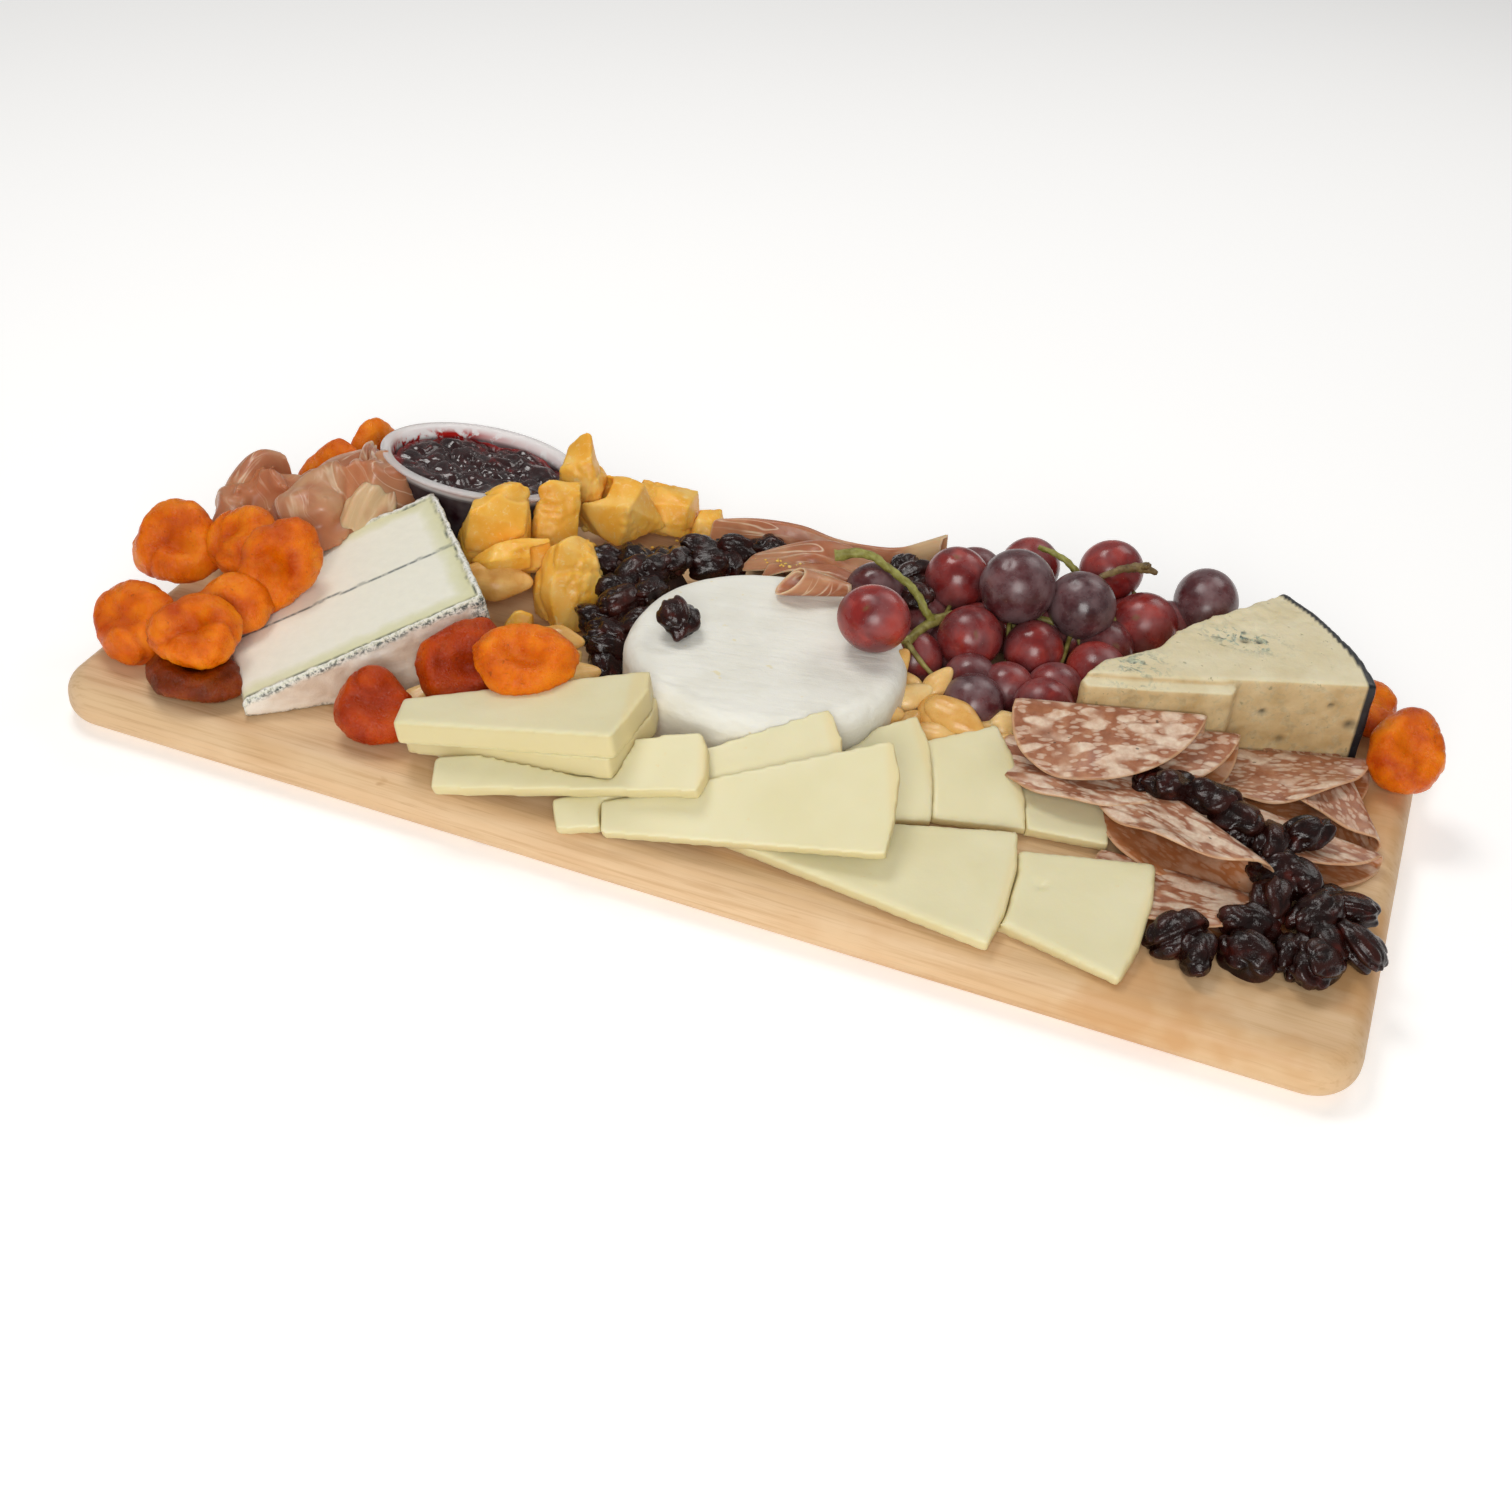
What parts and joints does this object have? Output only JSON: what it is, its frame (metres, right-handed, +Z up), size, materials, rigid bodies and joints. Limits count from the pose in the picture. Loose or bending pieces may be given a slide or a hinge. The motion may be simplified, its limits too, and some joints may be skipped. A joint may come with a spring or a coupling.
{
  "type": "charcuterie board",
  "caption": "Long rectangular wooden serving board carrying cheese wedges, slices and chunks, cured meat, dried fruit, nuts, grapes and a small open plastic cup of jam.",
  "frame": {"origin": "middle of the board's flat underside", "axes": "+X along the board's length, +Y towards the back long edge, +Z up"},
  "size_m": [0.5193, 0.2449, 0.0761],
  "materials": {
    "maple": "oiled",
    "white_rind": "bloomy",
    "ash_cheese": "soft matte",
    "pressed_cheese": "soft satin",
    "blue_cheese": "moist satin",
    "orange_cheese": "broken, slightly oily",
    "apricot": "wrinkled, sticky",
    "dark_apricot": "wrinkled, sticky",
    "dried_cherry": "wrinkled, glossy",
    "almond": "oiled",
    "grape": "waxy bloom",
    "salami": "cured, slightly oily",
    "ham": "cured, slightly translucent",
    "clear_plastic": "clear",
    "jam": "wet gloss"
  },
  "bodies": {
    "root": {"board": "maple", "brie": "white_rind", "jam_cup": "clear_plastic", "jam": "jam", "cheese_slice_1": "pressed_cheese", "cheese_slice_2": "pressed_cheese", "cheese_slice_3": "pressed_cheese", "cheese_slice_4": "pressed_cheese", "cheese_slice_5": "pressed_cheese", "cheese_slice_6": "pressed_cheese", "cheese_slice_7": "pressed_cheese", "cheese_slice_8": "pressed_cheese", "cheese_slice_9": "pressed_cheese", "cheese_slice_10": "pressed_cheese", "ash_wedge": "ash_cheese", "blue_wedge": "blue_cheese", "apricot_1": "apricot", "apricot_2": "apricot", "apricot_3": "apricot", "apricot_4": "apricot", "apricot_5": "apricot", "apricot_6": "apricot", "apricot_7": "dark_apricot", "apricot_8": "apricot", "apricot_9": "apricot", "apricot_10": "apricot", "apricot_11": "apricot", "apricot_12": "apricot", "apricot_13": "apricot", "apricot_14": "apricot", "cherry_single": "dried_cherry", "cheddar_1": "orange_cheese", "cheddar_2": "orange_cheese", "cheddar_3": "orange_cheese", "cheddar_4": "orange_cheese", "cheddar_5": "orange_cheese", "cheddar_6": "orange_cheese", "cheddar_7": "orange_cheese", "cheddar_8": "orange_cheese", "cheddar_9": "orange_cheese", "almond_large": "almond", "grape_bunch": "grape", "cherry_heap_centre": "dried_cherry", "cherry_heap_right": "dried_cherry", "cherry_heap_back": "dried_cherry", "salami_1": "salami", "salami_2": "salami", "salami_3": "salami", "salami_4": "salami", "salami_5": "salami", "salami_6": "salami", "salami_7": "salami", "salami_8": "salami", "prosciutto_1": "ham", "prosciutto_2": "ham", "prosciutto_3": "ham", "prosciutto_4": "ham", "prosciutto_5": "ham", "almond_heap_left": "almond", "almond_heap_centre": "almond"}
  },
  "joints": []
}
